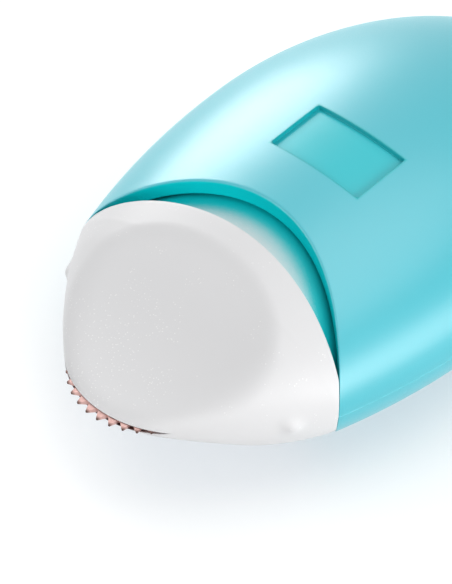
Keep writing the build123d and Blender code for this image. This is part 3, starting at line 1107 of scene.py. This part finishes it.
@dataclass
class ToothedWheel:
    """Thin toothed disc on its hub. Sizes are in millimetres."""

    axle_y: float
    mid_z: float
    teeth: int = 36
    radius: float = 8.6
    tooth_height: float = 1.0
    tooth_bury: float = 0.05
    tooth_land: float = 0.14
    base_share: float = 0.92
    thickness: float = 0.6
    tip_thickness: float = 0.22
    dark_inward: Pair = (0.38, 0.04)
    rim_steps: int = 216
    bore: float = 1.62
    edge: float = 0.05

    def tooth_tree(self, finish: bpy.types.Material, sizes: Feeds) -> bpy.types.NodeTree:
        """Node tree that sets tapered teeth round a circle.

        Args:
            finish: material of the teeth.
            sizes: names and values of the tree's inputs.

        Returns:
            The Geometry Nodes tree.
        """
        tree = bpy.data.node_groups.new("tooth_ring", "GeometryNodeTree")
        face = tree.interface
        face.new_socket("Geometry", in_out="INPUT", socket_type="NodeSocketGeometry")
        kinds = {int: "NodeSocketInt", float: "NodeSocketFloat", tuple: "NodeSocketVector"}
        for name, size in sizes.items():
            face.new_socket(name, in_out="INPUT", socket_type=kinds[type(size)])
        face.new_socket("Geometry", in_out="OUTPUT", socket_type="NodeSocketGeometry")
        wires = Wiring(tree)
        given = wires.add("NodeGroupInput").outputs
        height, thick, foot = given["Tooth Height"], given["Thickness"], given["Foot Width"]
        size = wires.add("ShaderNodeCombineXYZ", {"X": height, "Y": 1.0, "Z": thick})
        block = wires.add("GeometryNodeMeshCube", {"Size": size.outputs[0], "Vertices X": 4})
        where = wires.add("GeometryNodeInputPosition")
        x, y, z = wires.add("ShaderNodeSeparateXYZ", {0: where.outputs[0]}).outputs
        out = wires.math("ADD", wires.math("DIVIDE", x, height), 0.5)
        gain = wires.math("SUBTRACT", given["Tip Width"], foot)
        width = wires.math("ADD", wires.math("MULTIPLY", gain, out), foot)
        middle = wires.math("ADD", given["Root Radius"], wires.math("MULTIPLY", height, 0.5))
        thin = wires.math("DIVIDE", given["Tip Thickness"], thick)
        taper = wires.math("SUBTRACT", 1.0, wires.math("MULTIPLY", wires.math("SUBTRACT", 1.0, thin), out))
        moves = {"X": ("ADD", x, middle), "Y": ("MULTIPLY", y, width), "Z": ("MULTIPLY", z, taper)}
        slim = wires.add("ShaderNodeCombineXYZ", {axis: wires.math(*move) for axis, move in moves.items()})
        place = {"Geometry": block.outputs["Mesh"], "Position": slim.outputs[0]}
        tooth = wires.add("GeometryNodeSetPosition", place)
        spots = wires.add("GeometryNodePoints", {"Count": given["Teeth"]})
        index = wires.add("GeometryNodeInputIndex")
        part = wires.math("DIVIDE", wires.math("ADD", index.outputs[0], 0.5), given["Teeth"])
        turn = wires.add("ShaderNodeCombineXYZ", {"Z": wires.math("MULTIPLY", part, 2 * math.pi)})
        set_round = {"Points": spots.outputs[0], "Instance": tooth.outputs[0], "Rotation": turn.outputs[0]}
        ring = wires.add("GeometryNodeInstanceOnPoints", set_round)
        real = wires.add("GeometryNodeRealizeInstances", {"Geometry": ring.outputs[0]})
        shift = {"Geometry": real.outputs[0], "Translation": given["Centre"]}
        moved = wires.add("GeometryNodeTransform", shift)
        both = wires.add("GeometryNodeJoinGeometry", {"Geometry": moved.outputs[0]})
        wires.feed(both, {"Geometry": given["Geometry"]})
        dressed = wires.add("GeometryNodeSetMaterial", {"Geometry": both.outputs[0], "Material": finish})
        wires.add("NodeGroupOutput", {"Geometry": dressed.outputs[0]})
        return tree

    def disc(self) -> Piece:
        """Builds the disc inside the teeth, with its bore and slightly eased edges.

        Returns:
            The disc's object.
        """
        draft = Draft()
        turn = np.linspace(0, 2 * math.pi, self.rim_steps + 1)[:-1]
        root, half, ease = self.radius - self.tooth_height, self.thickness / 2, self.edge
        bottom = [(self.bore, -half), (root - ease, -half), (root, -half + ease)]
        profile = [*bottom, *((r, -z) for r, z in reversed(bottom)), bottom[0]]
        x, y = np.cos(turn), np.sin(turn)
        rows = [points_at(r * x, self.axle_y + r * y, self.mid_z + z) for r, z in profile]
        draft.sheet(np.stack(rows, 1), wrap=True)
        return draft.make("chalk_wheel_disc", 30.0)

    def build(self) -> Piece:
        """Builds the wheel and dresses it.

        Returns:
            The wheel's object.
        """
        copper = ToothFinish(
            "coppery_metal", (0.70, 0.47, 0.44), (0.60, 0.36, 0.32),
            patch_size=0.5, roughness_spread=0.08, grain_size=0.08, grain_depth=0.004, metallic=0.7,
            centre=(0.0, self.axle_y), dark_span=tuple(self.radius - inward for inward in self.dark_inward),
        )
        finish = copper.material()
        base = self.disc()
        base.data.materials.append(finish)
        root = self.radius - self.tooth_height
        pitch = 2 * root * math.tan(math.pi / self.teeth)
        sizes = {
            "Teeth": self.teeth,
            "Root Radius": (root - self.tooth_bury) * MM,
            "Tooth Height": (self.tooth_height + self.tooth_bury) * MM,
            "Foot Width": pitch * self.base_share * MM,
            "Tip Width": self.tooth_land * MM,
            "Thickness": self.thickness * MM,
            "Tip Thickness": self.tip_thickness * MM,
            "Centre": (0.0, self.axle_y * MM, self.mid_z * MM),
        }
        rings = base.modifiers.new("teeth", "NODES")
        rings.node_group = self.tooth_tree(finish, sizes)
        for item in rings.node_group.interface.items_tree:
            if item.in_out == "INPUT" and item.name in sizes:
                rings[item.identifier] = sizes[item.name]
        bpy.context.view_layer.update()
        shown = base.evaluated_get(bpy.context.evaluated_depsgraph_get())
        mesh = bpy.data.meshes.new_from_object(shown)
        mesh.name = "chalk_wheel_toothed"
        base.modifiers.clear()
        wheel = bpy.data.objects.new("chalk_wheel_toothed", mesh)
        bpy.context.scene.collection.objects.link(wheel)
        bpy.data.objects.remove(base)
        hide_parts("chalk_wheel")
        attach(wheel, "wheel")
        return wheel


# ---- pieces that keep their solids ----


@dataclass
class InnerPieces:
    """Small pieces inside the marker, whose solids stay and get their finishes."""

    finishes: dict[str, Finish] = field(
        default_factory=lambda: {
            "chalk_powder": POWDER,
            "wheel_hub": HUB_WHITE,
            "wheel_axle": STEEL,
            "filler_plug": PLUG_RUBBER,
        }
    )

    def build(self) -> list[Piece]:
        """Dresses the solids.

        Returns:
            The CAD objects.
        """
        made = []
        for name, finish in self.finishes.items():
            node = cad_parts[name]
            node.data.materials.clear()
            node.data.materials.append(finish.material())
            made.append(node)
        return made


# ---- studio ----


@dataclass
class Studio:
    """Pale floor, soft lamps and the camera of the photograph."""

    target: tuple[float, float, float]
    azimuth: float = 42.2
    elevation: float = 46.89
    roll: float = 1.07
    distance: float = 350.0
    sensor: float = 36.0
    pixels_per_mm: float = 9.619
    target_pixel: Pair = (210.08, 323.49)
    frame_pixels: Pair = (452.0, 584.0)
    lamps: tuple[tuple[str, float, float, float, float], ...] = (
        ("left_behind", 241.0, 23.0, 0.26, 1.2),
        ("overhead", 150.0, 74.0, 0.45, 0.9),
        ("nose_front", 324.0, 22.0, 0.30, 0.78),
        ("right_front", 70.0, 22.0, 0.30, 1.08),
        ("right_low", 103.0, 5.0, 0.45, 1.55),
    )
    lamp_centre: tuple[float, float, float] = (0.0, 0.0, 0.01)
    lamp_distance: float = 0.5
    air_level: float = 0.1
    glow: Colour = (0.72, 0.75, 0.77)
    # painted shadow: darker floor glow near the object
    painted_shadow_glow: Colour = (0.46, 0.51, 0.56)
    shade: Colour = (0.42, 0.40, 0.38)
    card: Colour = (0.8, 0.8, 0.8)
    # reach and span of the ambient occlusion that paints the floor's shadow
    painted_shadow_reach: float = 18.0
    painted_shadow_span: Pair = (0.3, 0.9)
    floor_half: float = 6.0
    floor_gap: float = 0.00002

    def directions(self) -> tuple[Vector, Vector, Vector]:
        """Right, up and back directions of the photograph's camera.

        Returns:
            The three unit vectors.
        """
        a, e, r = (math.radians(v) for v in (self.azimuth, self.elevation, self.roll))
        back = Vector((math.sin(a) * math.cos(e), -math.cos(a) * math.cos(e), math.sin(e)))
        right = Vector((math.cos(a), math.sin(a), 0))
        up = back.cross(right)
        return (
            right * math.cos(r) + up * math.sin(r),
            up * math.cos(r) - right * math.sin(r),
            back,
        )

    def camera(self) -> Piece:
        """Makes the camera, turned so that the target falls on its pixel without a shift.

        Returns:
            The camera's object.
        """
        right, up, back = self.directions()
        eye = Vector(self.target) * MM + back * self.distance * MM
        across = (self.frame_pixels[0] / 2 - self.target_pixel[0]) / self.pixels_per_mm
        rise = (self.target_pixel[1] - self.frame_pixels[1] / 2) / self.pixels_per_mm
        back = (back * self.distance - right * across - up * rise).normalized()
        right = (right - back * right.dot(back)).normalized()
        up = back.cross(right)
        data = bpy.data.cameras.new("photo_camera")
        data.sensor_width = self.sensor
        data.lens = self.pixels_per_mm * self.distance * self.sensor / max(self.frame_pixels)
        data.clip_start, data.clip_end = 0.01, 20.0
        made = bpy.data.objects.new("photo_camera", data)
        turn = Matrix((right, up, back)).transposed().to_4x4()
        made.matrix_world = Matrix.Translation(eye) @ turn
        bpy.context.scene.collection.objects.link(made)
        bpy.context.scene.camera = made
        return made

    def light(self) -> None:
        """Hangs the soft lamps and sets the world."""
        for name, azimuth, elevation, size, power in self.lamps:
            a, e = math.radians(azimuth), math.radians(elevation)
            way = Vector((math.sin(a) * math.cos(e), -math.cos(a) * math.cos(e), math.sin(e)))
            data = bpy.data.lights.new(name, "AREA")
            data.shape = "DISK"
            data.size = size
            data.energy = power
            lamp = bpy.data.objects.new(name, data)
            lamp.location = Vector(self.lamp_centre) + way * self.lamp_distance
            lamp.rotation_mode = "QUATERNION"
            lamp.rotation_quaternion = way.to_track_quat("Z", "Y")
            bpy.context.scene.collection.objects.link(lamp)
        world = bpy.data.worlds.new("studio_air")
        bpy.context.scene.world = world
        world.use_nodes = True
        world.node_tree.nodes.clear()
        wires = Wiring(world.node_tree)
        soft, white = (
            wires.add("ShaderNodeBackground", {"Color": (1, 1, 1, 1), "Strength": level})
            for level in (self.air_level, 1.0)
        )
        wires.add("ShaderNodeOutputWorld", {"Surface": self.seen(wires, soft, white)})

    def seen(self, wires: Wiring, plain: Node, shown: Node) -> Socket:
        """Chooses a shader by what looks at it.

        Args:
            wires: node tree of a material or of the world.
            plain: shader that lights the object.
            shown: shader that the camera and reflections see.

        Returns:
            The chosen shader's socket.
        """
        ray = wires.add("ShaderNodeLightPath").outputs
        last = ray["Is Camera Ray"]
        for kind in ("Is Glossy Ray", "Is Transmission Ray"):
            last = wires.math("MAXIMUM", last, ray[kind])
        feeds = {"Fac": last, 1: plain.outputs[0], 2: shown.outputs[0]}
        return wires.add("ShaderNodeMixShader", feeds).outputs[0]

    def floor(self) -> Piece:
        """Lays the pale floor, which looks white, keeps the lamps' soft shadow, and darkens its glow near the
        object into a painted shadow.

        Returns:
            The floor's object.
        """
        mesh = bpy.data.meshes.new("floor")
        r = self.floor_half
        mesh.from_pydata([(-r, -r, 0), (r, -r, 0), (r, r, 0), (-r, r, 0)], [], [(0, 1, 2, 3)])
        made = bpy.data.objects.new("floor", mesh)
        bpy.context.scene.collection.objects.link(made)
        made.location.z = -self.floor_gap
        finish = bpy.data.materials.new("floor_white")
        finish.use_nodes = True
        finish.node_tree.nodes.clear()
        wires = Wiring(finish.node_tree)
        tones = (self.card, self.shade)
        card, tint = (wires.add("ShaderNodeBsdfDiffuse", {"Color": (*tone, 1)}) for tone in tones)
        # painted shadow: the glow turns darker where ambient occlusion finds the object near
        cover = wires.add("ShaderNodeAmbientOcclusion", {"Distance": self.painted_shadow_reach * MM}).outputs["AO"]
        glow_with_painted_shadow = wires.mix(wires.spread(cover, self.painted_shadow_span), (*self.painted_shadow_glow, 1), (*self.glow, 1))
        glow = wires.add("ShaderNodeEmission", {"Color": glow_with_painted_shadow})
        both = wires.add("ShaderNodeAddShader", {0: tint.outputs[0], 1: glow.outputs[0]})
        wires.add("ShaderNodeOutputMaterial", {"Surface": self.seen(wires, card, both)})
        mesh.materials.append(finish)
        return made

    def build(self) -> None:
        """Sets the camera, lamps and floor, and the view transform."""
        self.camera()
        self.light()
        self.floor()
        bpy.context.scene.view_settings.view_transform = "Standard"


def main() -> None:
    """Builds the marker piece by piece."""
    logging.basicConfig(level=logging.INFO, format="%(name)s: %(message)s")
    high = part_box("upper_shell")[1] / MM
    wheel_low, wheel_high = (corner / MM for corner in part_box("chalk_wheel"))
    mid_z = (wheel_low.z + wheel_high.z) / 2
    handle = Handle(mouth_y=high.y - Handle.length, mid_z=mid_z)
    cartridge = Cartridge(handle)
    wheel = ToothedWheel(axle_y=(wheel_low.y + wheel_high.y) / 2, mid_z=mid_z)
    for piece in [*handle.build(), *cartridge.build(), wheel.build(), *InnerPieces().build()]:
        log.info("%s: %d faces", piece.name, len(piece.data.polygons))
    Studio(target=(0.0, handle.mouth_y + 0.65, mid_z)).build()


if __name__ == "__main__":
    main()
